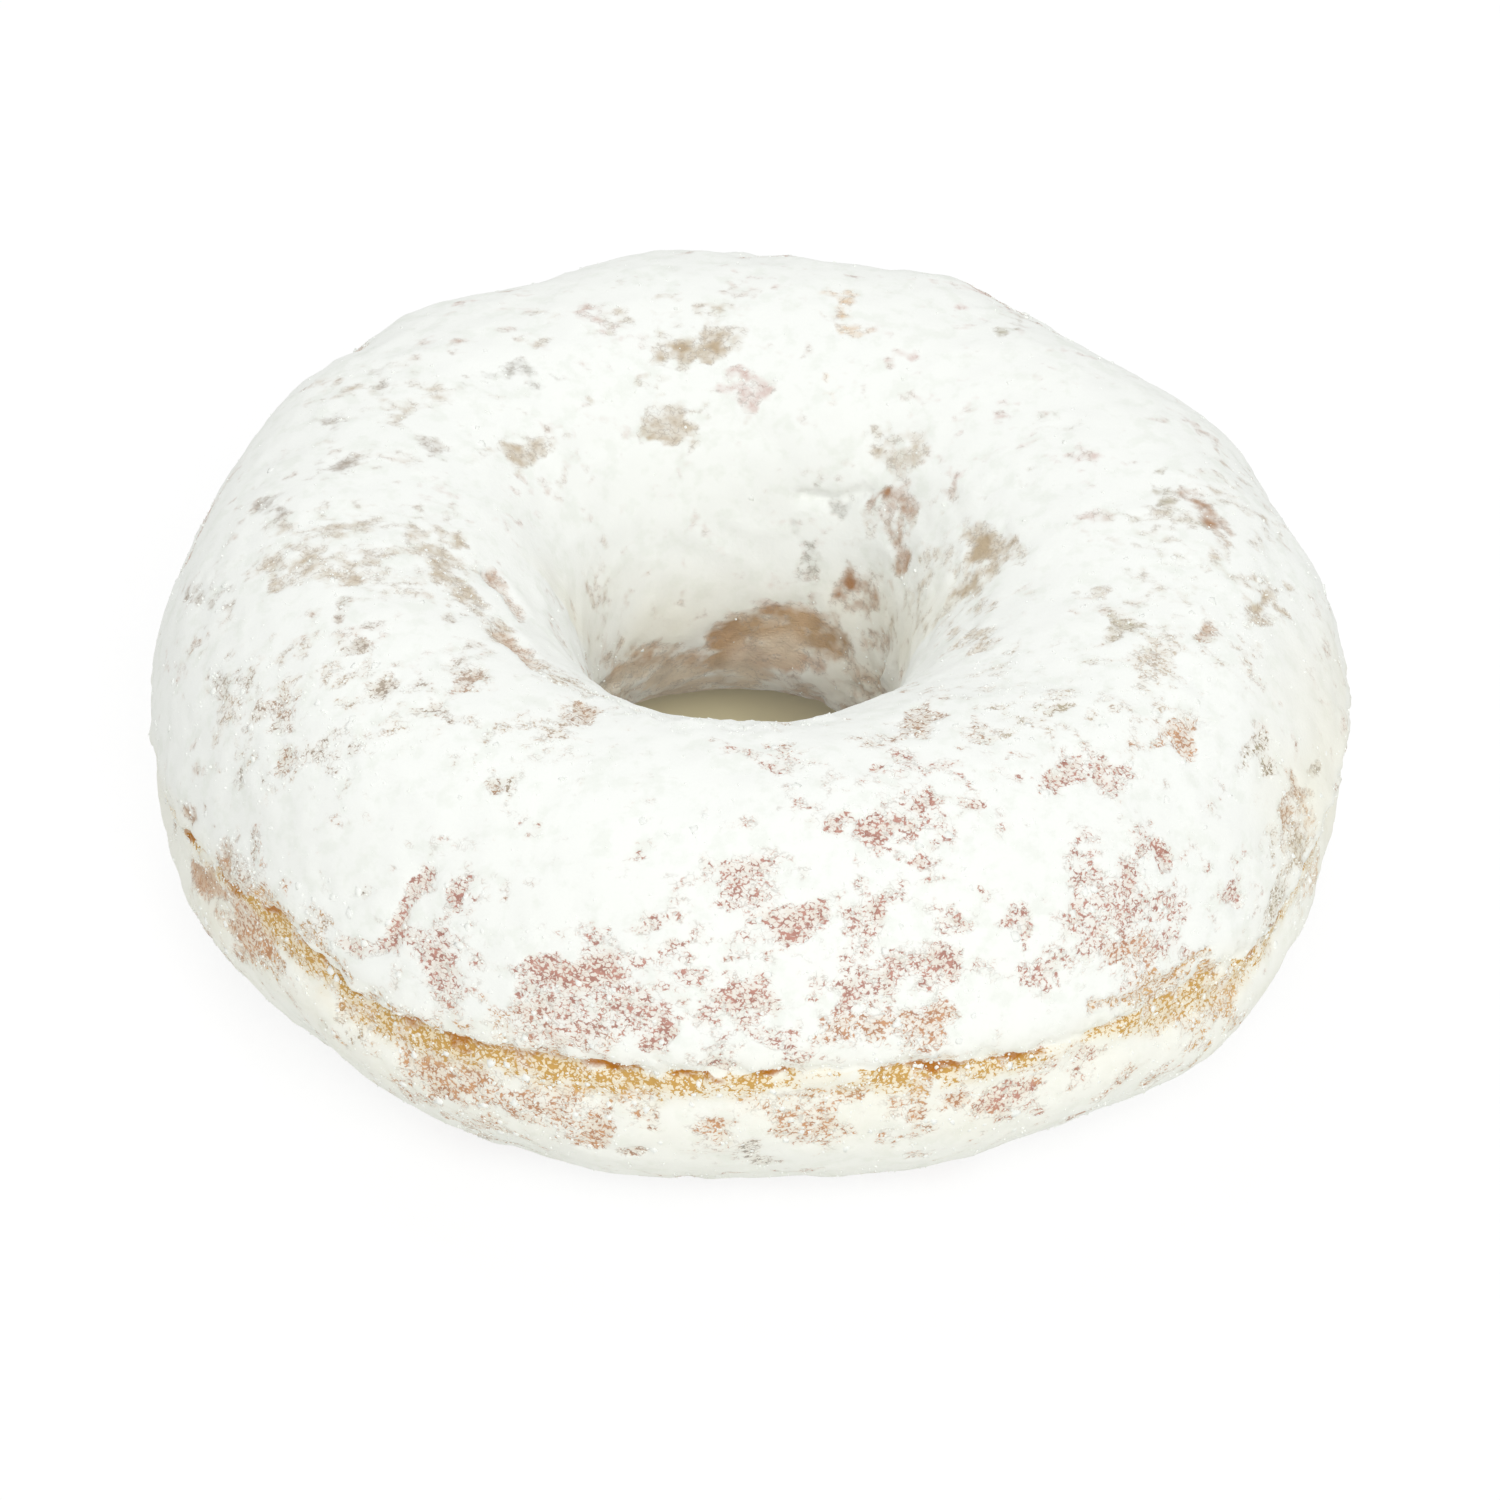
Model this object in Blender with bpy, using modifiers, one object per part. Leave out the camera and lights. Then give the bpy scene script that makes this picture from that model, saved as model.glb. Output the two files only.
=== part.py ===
"""A yeast-raised ring doughnut under a coat of powdered sugar, as one solid.

The ring is turned from the section of its tube, and then pulled out of round the way that soft
dough is: by a hole and an outline that wander, a proof line that isn't level, folds and knuckles
in the crust, and a flat where it lies. Sizes are metres and angles are degrees. The ring lies on
z = 0 with its axis along +Z. Azimuth 0 is +X, 90 is the back, and 270 is the side that is seen
first. The tube angle is 0 at the outside, 90 at the crown and 180 in the hole.
"""

import math

import bmesh
import bpy
import numpy as np
from mathutils import Vector, noise

MM = 0.001

OUTER_DIAMETER = 88 * MM
HOLE_DIAMETER = 25 * MM
HEIGHT = 32.4 * MM

CROWN_SHARE = 0.66
WIDEST_SHARE = 0.415
REST_DEPTH = 0.7 * MM

OUTER_RADIUS = OUTER_DIAMETER / 2
HOLE_RADIUS = HOLE_DIAMETER / 2
CROWN_RADIUS = OUTER_RADIUS * CROWN_SHARE
OUTER_REACH = OUTER_RADIUS - CROWN_RADIUS
INNER_REACH = CROWN_RADIUS - HOLE_RADIUS
BOTTOM_REACH = HEIGHT * WIDEST_SHARE + REST_DEPTH
TOP_REACH = HEIGHT + REST_DEPTH - BOTTOM_REACH
TUBE_HEIGHT = BOTTOM_REACH - REST_DEPTH
SQUARENESS = 2.15

PROOF_HEIGHT = 14.9 * MM
PROOF_LIP = 1.4 * MM
PROOF_SEAM = -1.5 * MM
LIP_BULGE, LIP_WIDTH = 0.35 * MM, 2.2 * MM
LIP_GROOVE, LIP_GROOVE_WIDTH = 1.0 * MM, 0.75 * MM
SEAM_GROOVE, SEAM_GROOVE_WIDTH = 0.45 * MM, 0.7 * MM
BAND_DIP, BAND_WIDTH = 0.45 * MM, 2.4 * MM
PROOF_REACH = 7 * MM

AROUND_RING = 98
AROUND_TUBE = 60
CROWDING = 0.55

# Slow waves round the ring: how many to a turn, how far, and where the first crest is.
OUTLINE_WAVES = ((2, 0.25 * MM, 150), (3, 0.35 * MM, 100), (5, 0.15 * MM, 40))
CROWN_WAVES = ((1, 0.4 * MM, 200), (2, 0.4 * MM, 60), (4, 0.25 * MM, 15))
HOLE_WAVES = ((1, 0.4 * MM, 320), (2, 1.2 * MM, 165), (3, 0.45 * MM, 325), (4, 0.2 * MM, 20))

# Where the lip of the proof line runs, azimuth by azimuth: its height above the table.
PROOF_LINE = {
    0: 18.2 * MM, 40: 17.8 * MM, 80: 17.2 * MM, 120: 16.6 * MM, 160: 16.0 * MM,
    185: 15.5 * MM, 200: 15.4 * MM, 209: 15.8 * MM, 215: 16.9 * MM, 222: 17.7 * MM,
    226: 16.4 * MM, 233: 14.6 * MM, 240: 14.9 * MM, 247: 15.4 * MM, 256: 16.1 * MM,
    265: 16.4 * MM, 277: 16.8 * MM, 292: 16.1 * MM, 300: 15.2 * MM, 314: 15.5 * MM,
    320: 15.2 * MM, 326: 14.4 * MM, 331: 14.4 * MM, 337: 16.0 * MM, 345: 17.8 * MM,
}

# Knuckles stand out of the crust and dents sink in: azimuth, tube angle, height, spread.
KNUCKLES = {
    "left shoulder": (150, 54, 1.3 * MM, 6 * MM),
    "back left corner": (132, 52, 1.1 * MM, 5 * MM),
    "back crest": (101, 55, 0.5 * MM, 5 * MM),
    "back right corner": (68, 58, 1.1 * MM, 5 * MM),
    "right shoulder": (30, 42, 0.8 * MM, 5 * MM),
    "right cheek": (9, 38, 0.9 * MM, 5 * MM),
    "lump behind the hole": (76, 128, 1.2 * MM, 4.4 * MM),
    "low wall of the hole": (62, -155, 1.1 * MM, 5 * MM),
    "left of the hole": (175, 125, 0.7 * MM, 5 * MM),
    "front swell": (300, 48, 0.5 * MM, 8 * MM),
    "front left swell": (222, 55, 0.5 * MM, 7 * MM),
    "foot at the right": (320, -22, 0.8 * MM, 5 * MM),
}
DENTS = {
    "back left flat": (116, 52, 0.4 * MM, 4 * MM),
    "back right flat": (48, 46, 0.6 * MM, 5 * MM),
    "right flat": (18, 32, 0.4 * MM, 4 * MM),
    "under the lump": (70, 148, 0.5 * MM, 3 * MM),
    "fold left of the hole": (192, 116, 0.6 * MM, 3 * MM),
    "left foot": (223, -33, 1.1 * MM, 5 * MM),
    "low front": (276, -44, 0.8 * MM, 7 * MM),
    "beside the right foot": (302, -44, 0.6 * MM, 4 * MM),
    "left edge": (190, -5, 0.4 * MM, 6 * MM),
    "low front left": (250, -38, 0.6 * MM, 4 * MM),
}

RIPPLE_HEIGHT, RIPPLE_LENGTH = 0.4 * MM, 8 * MM
PROOF_FADE, PROOF_FADE_LENGTH = 0.9, 14 * MM
CRUST_COLOUR = (0.93, 0.92, 0.89, 1.0)
CRUST_ROUGHNESS = 0.9


def clear_scene():
    for old in list(bpy.data.objects):
        bpy.data.objects.remove(old, do_unlink=True)


def collection_named(name):
    collection = bpy.data.collections.new(name)
    bpy.context.scene.collection.children.link(collection)
    return collection


def plain_material(name, colour, roughness):
    material = bpy.data.materials.new(name)
    material.use_nodes = True
    shader = material.node_tree.nodes["Principled BSDF"]
    shader.inputs["Base Color"].default_value = colour
    shader.inputs["Roughness"].default_value = roughness
    shader.inputs["Metallic"].default_value = 0.0
    return material


def bell(distance, width):
    return math.exp(-((distance / width) ** 2))


def wave_sum(waves, azimuth):
    return sum(size * math.cos(math.radians(count * (azimuth - crest))) for count, size, crest in waves)


def proof_line_rise(azimuth):
    """How far the lip of the proof line runs above its mean height at one azimuth."""
    lip = np.interp(azimuth, list(PROOF_LINE), list(PROOF_LINE.values()), period=360)
    return float(lip) - PROOF_HEIGHT - PROOF_LIP


def tube_reach(tube_angle):
    """From the middle of the tube to its skin, along one angle of the section."""
    along, up = math.cos(tube_angle), math.sin(tube_angle)
    half_width = OUTER_REACH if along > 0 else INNER_REACH
    half_height = TOP_REACH if up > 0 else BOTTOM_REACH
    share = (abs(along) / half_width) ** SQUARENESS + (abs(up) / half_height) ** SQUARENESS
    return share ** (-1 / SQUARENESS)


def section_points():
    """The tube's section, clockwise from the outside down, with its points crowded at the proof line."""
    crowded_at = math.asin((PROOF_HEIGHT - TUBE_HEIGHT) / TOP_REACH)
    points = []
    for step in range(AROUND_TUBE):
        turn = -2 * math.pi * step / AROUND_TUBE
        tube_angle = crowded_at + turn - CROWDING * math.sin(turn)
        reach = tube_reach(tube_angle)
        radius = CROWN_RADIUS + reach * math.cos(tube_angle)
        points.append((radius, 0.0, TUBE_HEIGHT + reach * math.sin(tube_angle)))
    return points


def turned_ring(collection):
    """The plain ring: its section carried once round the axis by a Screw modifier."""
    points = section_points()
    edges = [(i, (i + 1) % len(points)) for i in range(len(points))]
    mesh = bpy.data.meshes.new("tube_section")
    mesh.from_pydata(points, edges, [])
    section = bpy.data.objects.new("tube_section", mesh)
    section.hide_render = True
    section.display_type = "WIRE"
    collection.objects.link(section)
    screw = section.modifiers.new("once round", "SCREW")
    screw.steps = screw.render_steps = AROUND_RING
    screw.use_merge_vertices = True
    screw.merge_threshold = 0.00001
    bpy.context.view_layer.update()
    evaluated = section.evaluated_get(bpy.context.evaluated_depsgraph_get())
    ring = bpy.data.meshes.new_from_object(evaluated)
    bpy.data.objects.remove(section)
    return ring


def proof_line_offset(height_above_line):
    """How far the skin stands out at the lip over the proof line, and in at its two grooves."""
    lip = LIP_BULGE * bell(height_above_line - PROOF_LIP - LIP_WIDTH / 2, LIP_WIDTH)
    lip_groove = LIP_GROOVE * bell(height_above_line - PROOF_LIP, LIP_GROOVE_WIDTH)
    seam_groove = SEAM_GROOVE * bell(height_above_line - PROOF_SEAM, SEAM_GROOVE_WIDTH)
    band = BAND_DIP * bell(height_above_line, BAND_WIDTH)
    return lip - lip_groove - seam_groove - band


def crust_point(azimuth, tube_angle):
    """A place on the plain ring, for measuring from a knuckle or a dent."""
    turn, lean = math.radians(azimuth), math.radians(tube_angle)
    reach = tube_reach(lean)
    radius = CROWN_RADIUS + reach * math.cos(lean)
    return Vector((radius * math.cos(turn), radius * math.sin(turn), TUBE_HEIGHT + reach * math.sin(lean)))


def hand_marks():
    """Knuckles and dents as places with a signed height and a spread."""
    marks = [(crust_point(turn, lean), size, spread) for turn, lean, size, spread in KNUCKLES.values()]
    marks += [(crust_point(turn, lean), -size, spread) for turn, lean, size, spread in DENTS.values()]
    return marks


def pulled_out_of_round(point, marks):
    """Where soft dough puts a point of the plain ring."""
    radius = math.hypot(point.x, point.y)
    azimuth = math.degrees(math.atan2(point.y, point.x))
    outwards = Vector((point.x / radius, point.y / radius, 0))
    across, up = radius - CROWN_RADIUS, point.z - TUBE_HEIGHT
    lean = math.atan2(up, across)
    skin = outwards * math.cos(lean) + Vector((0, 0, math.sin(lean)))

    offset = sum(size * bell((point - place).length, spread) for place, size, spread in marks)
    offset += RIPPLE_HEIGHT * noise.noise(point / RIPPLE_LENGTH)
    if across > 0:
        fade = 1 + PROOF_FADE * noise.noise(Vector((point.x, point.y, 0)) / PROOF_FADE_LENGTH)
        offset += proof_line_offset(point.z - PROOF_HEIGHT) * fade * min(1, across / OUTER_REACH * 1.5)
    moved = point + skin * offset

    outside = max(0, math.cos(lean))
    inside = max(0, -math.cos(lean))
    moved += outwards * (wave_sum(OUTLINE_WAVES, azimuth) * outside)
    moved -= outwards * (wave_sum(HOLE_WAVES, azimuth) * inside)
    moved.z += wave_sum(CROWN_WAVES, azimuth) * max(0, math.sin(lean))
    if across > 0:
        moved.z += proof_line_rise(azimuth) * bell(point.z - PROOF_HEIGHT, PROOF_REACH)
    return moved


def middle_of(values):
    return (min(values) + max(values)) / 2


def rested_and_centred(places):
    """The ring flattened where it lies, with its box centred on the axis."""
    middle_x = middle_of([place.x for place in places])
    middle_y = middle_of([place.y for place in places])
    return [Vector((place.x - middle_x, place.y - middle_y, max(0.0, place.z))) for place in places]


def make_doughnut(collection, material):
    mesh = turned_ring(collection)
    mesh.name = "doughnut"
    marks = hand_marks()
    places = rested_and_centred([pulled_out_of_round(vertex.co, marks) for vertex in mesh.vertices])
    for vertex, place in zip(mesh.vertices, places):
        vertex.co = place
    shape = bmesh.new()
    shape.from_mesh(mesh)
    bmesh.ops.recalc_face_normals(shape, faces=shape.faces)
    shape.to_mesh(mesh)
    shape.free()
    mesh.shade_smooth()
    mesh.materials.clear()
    mesh.materials.append(material)
    doughnut = bpy.data.objects.new("doughnut", mesh)
    collection.objects.link(doughnut)
    return doughnut


def main():
    clear_scene()
    collection = collection_named("powdered_sugar_doughnut")
    material = plain_material("sugared_crust", CRUST_COLOUR, CRUST_ROUGHNESS)
    make_doughnut(collection, material)


main()
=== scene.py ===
# %% [markdown]
# # A powdered sugar doughnut
#
# A raised doughnut is a ring of yeast dough that floats in hot fat and is fried one side at a
# time. Where the fat didn't reach, a paler line runs round its side: the proof line. Cold, it is
# rolled in powdered sugar, which packs into white lumps on the shoulders and rubs off in patches.
# The crust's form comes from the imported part. This script adds what the part can't hold: the
# coat of sugar as fine relief, the rubbed patches as colour, and the loose grains as small meshes.

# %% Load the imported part
import math

import bmesh
import bpy
import numpy as np
from mathutils import Matrix, Vector, noise
from mathutils.bvhtree import BVHTree


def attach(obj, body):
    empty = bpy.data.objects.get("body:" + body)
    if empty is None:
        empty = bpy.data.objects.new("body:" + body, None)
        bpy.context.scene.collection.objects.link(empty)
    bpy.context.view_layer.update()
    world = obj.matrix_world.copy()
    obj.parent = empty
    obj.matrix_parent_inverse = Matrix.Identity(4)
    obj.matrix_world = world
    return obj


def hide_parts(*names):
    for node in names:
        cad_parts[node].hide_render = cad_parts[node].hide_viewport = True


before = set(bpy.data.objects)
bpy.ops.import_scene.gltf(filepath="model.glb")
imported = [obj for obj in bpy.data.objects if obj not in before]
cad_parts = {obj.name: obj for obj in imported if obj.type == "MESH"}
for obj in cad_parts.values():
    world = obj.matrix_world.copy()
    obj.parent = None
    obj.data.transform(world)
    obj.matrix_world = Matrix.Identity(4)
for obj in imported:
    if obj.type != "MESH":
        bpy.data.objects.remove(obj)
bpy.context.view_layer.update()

MM = 0.001
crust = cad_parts["doughnut"]

# %% [markdown]
# ## The camera
#
# A product photographer shoots pastry from about 40 degrees up with a long lens, so that the ring
# reads as a ring and the hole shows its far wall. The angle, the slight roll and the distance were
# found by matching the outline, so the camera is built from those values. The same numbers turn
# a point on the crust into a pixel of the photograph, which later cells use to place rubbed patches.

# %% Camera
PHOTO = 1500
PIXELS_PER_MM = 13.43
ELEVATION, ROLL, DISTANCE = 38.3, 2.2, 0.65
TARGET, TARGET_PIXEL = Vector((0, 0, 0.0132)), (748, 728)
FOCAL = PIXELS_PER_MM / MM * DISTANCE
SENSOR = 36.0


def photograph_view():
    """Where the camera stands, and its turn as a matrix."""
    tilt, roll = math.radians(ELEVATION), math.radians(ROLL)
    across = Vector((1, 0, 0))
    upward = Vector((0, math.sin(tilt), math.cos(tilt)))
    backward = Vector((0, -math.cos(tilt), math.sin(tilt)))
    right = across * math.cos(roll) + upward * math.sin(roll)
    up = upward * math.cos(roll) - across * math.sin(roll)
    aim = Vector(((TARGET_PIXEL[0] - PHOTO / 2) / FOCAL, (PHOTO / 2 - TARGET_PIXEL[1]) / FOCAL, -1))
    turn = Matrix((right, up, backward)).transposed()
    return TARGET + backward * DISTANCE, turn @ aim.rotation_difference(Vector((0, 0, -1))).to_matrix()


camera_place, camera_turn = photograph_view()
camera = bpy.data.objects.new("camera", bpy.data.cameras.new("camera"))
camera.matrix_world = Matrix.Translation(camera_place) @ camera_turn.to_4x4()
camera.data.sensor_width = SENSOR
camera.data.lens = FOCAL * SENSOR / PHOTO
camera.data.clip_start = 0.02
bpy.context.scene.collection.objects.link(camera)
bpy.context.scene.camera = camera
print("camera at", [round(c, 3) for c in camera_place], "lens", round(camera.data.lens, 1), "mm")

# %% [markdown]
# ## Helpers for shader nodes
#
# A material is a graph of nodes. Each of these functions adds one node and links it, so that the
# cells below read like sums. A ramp turns a range of values into 0 to 1, by default with soft
# ends, and a noise's scale counts its waves per metre: 1000 is one wave a millimetre.


# %% Colours and nodes
def srgb(red, green, blue):
    """A colour as it is read off a screen, 0 to 255, as the linear values that shaders use."""
    shares = [value / 255 for value in (red, green, blue)]
    return tuple(s / 12.92 if s <= 0.04045 else ((s + 0.055) / 1.055) ** 2.4 for s in shares) + (1.0,)


def add_node(tree, kind, **inputs):
    node = tree.nodes.new(kind)
    for name, value in inputs.items():
        node.inputs[name].default_value = value
    return node


def math_node(tree, operation, first, second=0.0, clamp=False):
    node = tree.nodes.new("ShaderNodeMath")
    node.operation, node.use_clamp = operation, clamp
    for socket, value in zip(node.inputs, (first, second)):
        if isinstance(value, (int, float)):
            socket.default_value = value
        else:
            tree.links.new(value, socket)
    return node.outputs[0]


def ramp_node(tree, value, low, high, low_out=0.0, high_out=1.0, ends="SMOOTHSTEP"):
    node = tree.nodes.new("ShaderNodeMapRange")
    node.interpolation_type = ends
    for name, number in (("From Min", low), ("From Max", high), ("To Min", low_out), ("To Max", high_out)):
        node.inputs[name].default_value = number
    tree.links.new(value, node.inputs["Value"])
    return node.outputs["Result"]


def noise_node(tree, coordinates, scale, detail, roughness=0.55):
    node = add_node(tree, "ShaderNodeTexNoise", Scale=scale, Detail=detail, Roughness=roughness)
    tree.links.new(coordinates, node.inputs["Vector"])
    return node.outputs[0]


def mix_node(tree, share, first, second):
    node = tree.nodes.new("ShaderNodeMix")
    node.data_type = "RGBA"
    for socket, value in ((node.inputs[0], share), (node.inputs[6], first), (node.inputs[7], second)):
        if isinstance(value, (int, float, tuple)):
            socket.default_value = value
        else:
            tree.links.new(value, socket)
    return node.outputs[2]


def new_group(name, ins, outs):
    tree = bpy.data.node_groups.new(name, "ShaderNodeTree")
    for socket, kind in ins.items():
        tree.interface.new_socket(socket, in_out="INPUT", socket_type=kind)
    for socket, kind in outs.items():
        tree.interface.new_socket(socket, in_out="OUTPUT", socket_type=kind)
    return tree, tree.nodes.new("NodeGroupInput"), tree.nodes.new("NodeGroupOutput")


def attribute_node(tree, name):
    node = tree.nodes.new("ShaderNodeAttribute")
    node.attribute_name = name
    return node


# %% [markdown]
# ## Light
#
# The photograph is high key: white sugar on white, with almost no shadow. A bright white world
# lights every side. One wide soft box stands high in front, so that it gives the lumps a gentle
# light and also reaches the far wall of the hole, and a weaker one fills the back. The view
# transform is Standard, so that a white stays as white as it was measured.


# %% World and soft boxes
LAMPS_AIM_AT = Vector((0, 0, 15 * MM))


def soft_box(name, place, size, watts, colour):
    lamp = bpy.data.lights.new(name, "AREA")
    lamp.shape, lamp.size, lamp.energy, lamp.color = "DISK", size, watts, colour
    light = bpy.data.objects.new(name, lamp)
    light.location = place
    light.rotation_euler = (LAMPS_AIM_AT - Vector(place)).to_track_quat("-Z", "Y").to_euler()
    bpy.context.scene.collection.objects.link(light)


WORLD_STRENGTH = 0.56
FRONT_WATTS, BACK_WATTS = 13.1, 4.5
world = bpy.data.worlds.new("white_studio")
world.use_nodes = True
world.node_tree.nodes["Background"].inputs["Color"].default_value = (1.0, 1.0, 1.0, 1.0)
world.node_tree.nodes["Background"].inputs["Strength"].default_value = WORLD_STRENGTH
bpy.context.scene.world = world
soft_box("front_soft_box", (0.30, -1.15, 1.20), 1.2, FRONT_WATTS, (1.0, 1.0, 0.995))
soft_box("back_fill", (-0.30, 0.90, 1.10), 1.0, BACK_WATTS, (1.0, 1.0, 1.0))
bpy.context.scene.view_settings.view_transform = "Standard"
bpy.context.scene.view_settings.look = "None"
print("world", WORLD_STRENGTH, "and soft boxes of", FRONT_WATTS, "and", BACK_WATTS, "W")

# %% [markdown]
# ## The floor
#
# The doughnut stands on white paper, which throws light back up under the ring. For the camera
# the paper also glows, as it does in a picture that was exposed until its ground went white. Light
# Path tells the camera's rays from the others, so the glow adds next to no light to the ring.
# Under the ring, for the camera only, a darker and warmer ring of paper is painted shade, in place
# of the shade that the glow washes out. It is hidden by the doughnut, and shows only where the
# camera looks down into the hole.

# %% White paper
FLOOR_SIZE = 4.0
GLOW, GLOW_SEEN = 0.05, 0.82
SHADE_STARTS, SHADE_FULL, SHADE_FADES, SHADE_ENDS = 9 * MM, 17 * MM, 27 * MM, 32 * MM
SHADE_IN_THE_MIDDLE = 0.12
PAPER, PAPER_SEEN, PAPER_IN_PAINTED_SHADE = (0.86, 0.86, 0.84, 1), (0.20, 0.20, 0.20, 1), srgb(206, 198, 162)
GLOW_WHITE, GLOW_IN_PAINTED_SHADE = (1, 1, 1, 1), (0.165, 0.150, 0.108, 1)

floor_form = bmesh.new()
bmesh.ops.create_grid(floor_form, x_segments=1, y_segments=1, size=FLOOR_SIZE / 2)
floor_mesh = bpy.data.meshes.new("floor")
floor_form.to_mesh(floor_mesh)
floor_form.free()
floor = bpy.data.objects.new("floor", floor_mesh)
bpy.context.scene.collection.objects.link(floor)
paper = bpy.data.materials.new("white_paper")
paper.use_nodes = True
tree = paper.node_tree
sheet = tree.nodes["Principled BSDF"]
sheet.inputs["Roughness"].default_value = 0.95
sheet.inputs["Specular IOR Level"].default_value = 0.0

by_camera = tree.nodes.new("ShaderNodeLightPath").outputs["Is Camera Ray"]
from_middle = tree.nodes.new("ShaderNodeVectorMath")
from_middle.operation = "LENGTH"
tree.links.new(tree.nodes.new("ShaderNodeTexCoord").outputs["Object"], from_middle.inputs[0])
away = from_middle.outputs["Value"]
# A darker, warmer ring of paper under the doughnut, seen by the camera only, is painted shade.
painted_floor_shade = math_node(tree, "MULTIPLY",
                ramp_node(tree, away, SHADE_STARTS, SHADE_FULL, SHADE_IN_THE_MIDDLE, 1.0, "LINEAR"),
                ramp_node(tree, away, SHADE_FADES, SHADE_ENDS, 1.0, 0.0, "LINEAR"))
paper_colour = mix_node(tree, by_camera, PAPER, mix_node(tree, painted_floor_shade, PAPER_SEEN, PAPER_IN_PAINTED_SHADE))
tree.links.new(paper_colour, sheet.inputs["Base Color"])
tree.links.new(mix_node(tree, painted_floor_shade, GLOW_WHITE, GLOW_IN_PAINTED_SHADE), sheet.inputs["Emission Color"])
glow = ramp_node(tree, by_camera, 0, 1, GLOW, GLOW_SEEN, "LINEAR")
tree.links.new(glow, sheet.inputs["Emission Strength"])
floor.data.materials.append(paper)
print("floor", FLOOR_SIZE, "m wide, its paper stained to", round(SHADE_ENDS / MM), "mm from the middle")

# %% [markdown]
# ## The skin
#
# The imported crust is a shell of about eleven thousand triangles: enough for its form, far too
# few for sugar. A copy of it gets its triangles joined back into quads, a Subdivision Surface
# to round the facets, and a voxel Remesh that lays an even net of half-millimetre squares over
# the ring. An even net matters, because every later step moves or paints its points.

# %% Fine skin over the crust
SKIN_STEP = 0.516 * MM


def new_piece(name, mesh):
    piece = bpy.data.objects.new(name, mesh)
    bpy.context.scene.collection.objects.link(piece)
    return piece


def merged_copy(node, name):
    form = bmesh.new()
    form.from_mesh(node.data)
    bmesh.ops.remove_doubles(form, verts=form.verts, dist=1e-6)
    bmesh.ops.join_triangles(form, faces=form.faces, angle_face_threshold=math.pi,
                             angle_shape_threshold=math.pi)
    mesh = bpy.data.meshes.new(name)
    form.to_mesh(mesh)
    form.free()
    return new_piece(name, mesh)


def finished_mesh(piece, name):
    """The piece's mesh with its modifiers applied."""
    bpy.context.view_layer.update()
    evaluated = piece.evaluated_get(bpy.context.evaluated_depsgraph_get())
    mesh = bpy.data.meshes.new_from_object(evaluated)
    mesh.name = name
    return mesh


rough = merged_copy(crust, "rough_ring")
rounding = rough.modifiers.new("rounding", "SUBSURF")
rounding.levels = rounding.render_levels = 2
net = rough.modifiers.new("net", "REMESH")
net.mode, net.voxel_size, net.adaptivity = "VOXEL", SKIN_STEP, 0.0
skin = finished_mesh(rough, "sugared_doughnut")
bpy.data.objects.remove(rough, do_unlink=True)
skin.materials.clear()

form = bmesh.new()
form.from_mesh(skin)
for _ in range(2):
    bmesh.ops.smooth_vert(form, verts=form.verts, factor=0.5, use_axis_x=True, use_axis_y=True,
                          use_axis_z=True)
form.to_mesh(skin)
form.free()
doughnut = new_piece("sugared_doughnut", skin)
print("skin:", len(skin.polygons), "faces", len(skin.vertices), "points")


# %% Points of the skin
def read_points(mesh):
    values = np.empty(len(mesh.vertices) * 3)
    mesh.vertices.foreach_get("co", values)
    return values.reshape(-1, 3)


def read_normals(mesh):
    values = np.empty(len(mesh.vertices) * 3)
    mesh.vertex_normals.foreach_get("vector", values)
    return values.reshape(-1, 3)


points, normals = read_points(skin), read_normals(skin)
offsets = (points - np.array(camera_place)) @ np.array(camera_turn)
pixel_x = PHOTO / 2 + FOCAL * offsets[:, 0] / -offsets[:, 2]
pixel_y = PHOTO / 2 - FOCAL * offsets[:, 1] / -offsets[:, 2]
azimuth = np.degrees(np.arctan2(points[:, 1], points[:, 0])) % 360
radius = np.hypot(points[:, 0], points[:, 1])
print("skin spans pixels", pixel_x.min().round(), pixel_x.max().round(),
      pixel_y.min().round(), pixel_y.max().round())


# %% [markdown]
# ## Small helpers
#
# Noise gives sugar its irregular look. Each field is Perlin noise with a wave length in metres
# and its own seed. A soft step turns a distance into a smooth 0 to 1, as a brush edge does.


# %% Noise and soft steps
def field(where, length, seed, octaves=1):
    """Noise at each point, about -1 to 1, with waves of that length in metres."""
    shift = Vector((17.3 * seed, -9.1 * seed, 5.7 * seed))
    if octaves == 1:
        return np.array([noise.noise(Vector(p) / length + shift) for p in where])
    return np.array([noise.fractal(Vector(p) / length + shift, 0.7, 2.1, octaves) for p in where])


def soft_step(low, high, value):
    share = np.clip((value - low) / (high - low), 0, 1)
    return share * share * (3 - 2 * share)


def seen_from(place, where, facing, mesh):
    """1 where the point is in plain view of that place, 0 where it is hidden or turned away."""
    tree = BVHTree.FromPolygons([v.co for v in mesh.vertices], [p.vertices for p in mesh.polygons])
    seen = np.zeros(len(where))
    for i, (p, n) in enumerate(zip(where, facing)):
        start = Vector(p) + Vector(n) * 0.3 * MM
        ray = place - start
        slope = ray.normalized().dot(Vector(n))
        if slope > 0.05 and tree.ray_cast(start, ray)[0] is None:
            seen[i] = min(1.0, (slope - 0.05) / 0.15)
    return seen


in_view = seen_from(camera_place, points, normals, skin)
print("in view:", round(float((in_view > 0).mean()), 2), "of the skin")

# %% [markdown]
# ## Rubbed patches
#
# Sugar clings to the lumps and rubs off where fingers and other doughnuts touched it. Each patch
# of the photograph is written down as a box in its pixels with a strength, grouped by place and by
# the colour of the crust that shows: rosy on the fried top, brown where it is darkest, gold along
# the pale proof line, and grey where the coat is only thin. Far off the tints are paler and duller.
# Long marks are strokes through a few points. The points of the skin that the camera sees take
# their bareness from these marks.

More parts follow.
